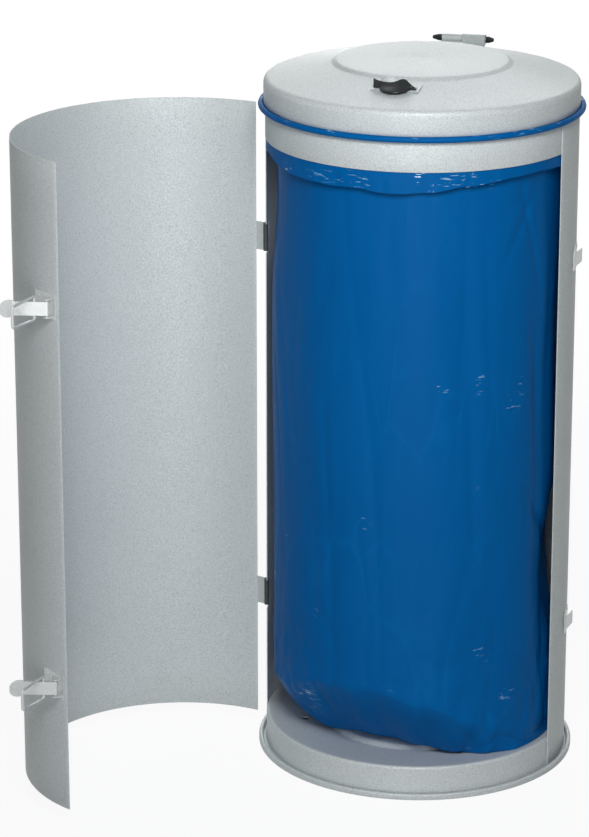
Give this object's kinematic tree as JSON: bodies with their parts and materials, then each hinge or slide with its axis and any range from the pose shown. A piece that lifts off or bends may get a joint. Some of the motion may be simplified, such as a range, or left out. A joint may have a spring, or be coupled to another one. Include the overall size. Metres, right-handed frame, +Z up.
{
  "type": "steel waste bin",
  "caption": "Round steel waste bin with a tall side door on two hinges, toggle latches, a rolled sack ring holding a plastic sack, and a hinged lid with a thumb grip.",
  "frame": {"origin": "on the floor at the axis of the round body", "axes": "+Z up, -Y towards the front (the lid's grip), +Y towards the lid hinge, the open door towards -X"},
  "size_m": [0.7233, 0.7162, 1.0009],
  "materials": {
    "steel_sheet": "fine speckled silver-grey coating",
    "plated_steel": "bright zinc plating",
    "black_plastic": "glossy black moulding",
    "film": "thin blue polythene film, soft sheen"
  },
  "bodies": {
    "cabinet": {"back_shell": "steel_sheet", "base_tray": "steel_sheet", "catch_lower": "plated_steel", "catch_lower_rivet_bottom": "plated_steel", "catch_lower_rivet_top": "plated_steel", "catch_upper": "plated_steel", "catch_upper_rivet_bottom": "plated_steel", "catch_upper_rivet_top": "plated_steel", "hinge_pin_lower": "plated_steel", "hinge_pin_upper": "plated_steel", "hinge_shell_leaf_lower": "steel_sheet", "hinge_shell_leaf_lower_rivet_bottom": "plated_steel", "hinge_shell_leaf_lower_rivet_top": "plated_steel", "hinge_shell_leaf_upper": "steel_sheet", "hinge_shell_leaf_upper_rivet_bottom": "plated_steel", "hinge_shell_leaf_upper_rivet_top": "plated_steel", "lid_bracket": "steel_sheet", "lid_bracket_rivet_bottom": "plated_steel", "lid_bracket_rivet_top": "plated_steel", "lid_hinge_cap_left": "black_plastic", "lid_hinge_cap_right": "black_plastic", "lid_hinge_pin": "plated_steel", "sack": "film", "sack_ring": "steel_sheet", "top_collar": "steel_sheet"},
    "door": {"door_panel": "steel_sheet", "hinge_door_leaf_lower": "steel_sheet", "hinge_door_leaf_lower_rivet_bottom": "plated_steel", "hinge_door_leaf_lower_rivet_top": "plated_steel", "hinge_door_leaf_upper": "steel_sheet", "hinge_door_leaf_upper_rivet_bottom": "plated_steel", "hinge_door_leaf_upper_rivet_top": "plated_steel", "latch_base_lower": "plated_steel", "latch_base_lower_rivet_bottom": "plated_steel", "latch_base_lower_rivet_top": "plated_steel", "latch_base_upper": "plated_steel", "latch_base_upper_rivet_bottom": "plated_steel", "latch_base_upper_rivet_top": "plated_steel", "latch_pin_lower": "plated_steel", "latch_pin_upper": "plated_steel"},
    "lid_assembly": {"grip_screw_left": "plated_steel", "grip_screw_right": "plated_steel", "lid": "steel_sheet", "lid_grip": "black_plastic", "lid_grip_plate": "steel_sheet", "lid_hinge_strap": "steel_sheet", "lid_strap_rivet_left": "plated_steel", "lid_strap_rivet_right": "plated_steel"},
    "lever_upper": {"latch_lever_upper": "plated_steel"},
    "lever_lower": {"latch_lever_lower": "plated_steel"},
    "bail_upper": {"latch_bail_upper": "plated_steel"},
    "bail_lower": {"latch_bail_lower": "plated_steel"}
  },
  "joints": [
    {"name": "door_hinge", "type": "hinge", "parent": "cabinet", "child": "door", "pos_m": [-0.21543, -0.0215, 0.47], "axis": [0, 0, 1], "range_deg": [-36, 113.8]},
    {"name": "lid_hinge", "type": "hinge", "parent": "cabinet", "child": "lid_assembly", "pos_m": [0, 0.23, 0.978], "axis": [-1, 0, 0], "range_deg": [0, 100]},
    {"name": "lever_upper_pivot", "type": "hinge", "parent": "door", "child": "lever_upper", "pos_m": [-0.39481, -0.42306, 0.731], "axis": [0, 0, -1], "range_deg": [-128, 40]},
    {"name": "bail_upper_pivot", "type": "hinge", "parent": "lever_upper", "child": "bail_upper", "pos_m": [-0.41042, -0.42657, 0.731], "axis": [0, 0, 1], "range_deg": [-50, 88]},
    {"name": "lever_lower_pivot", "type": "hinge", "parent": "door", "child": "lever_lower", "pos_m": [-0.39481, -0.42306, 0.2], "axis": [0, 0, -1], "range_deg": [-128, 40]},
    {"name": "bail_lower_pivot", "type": "hinge", "parent": "lever_lower", "child": "bail_lower", "pos_m": [-0.41042, -0.42657, 0.2], "axis": [0, 0, 1], "range_deg": [-50, 88]}
  ]
}
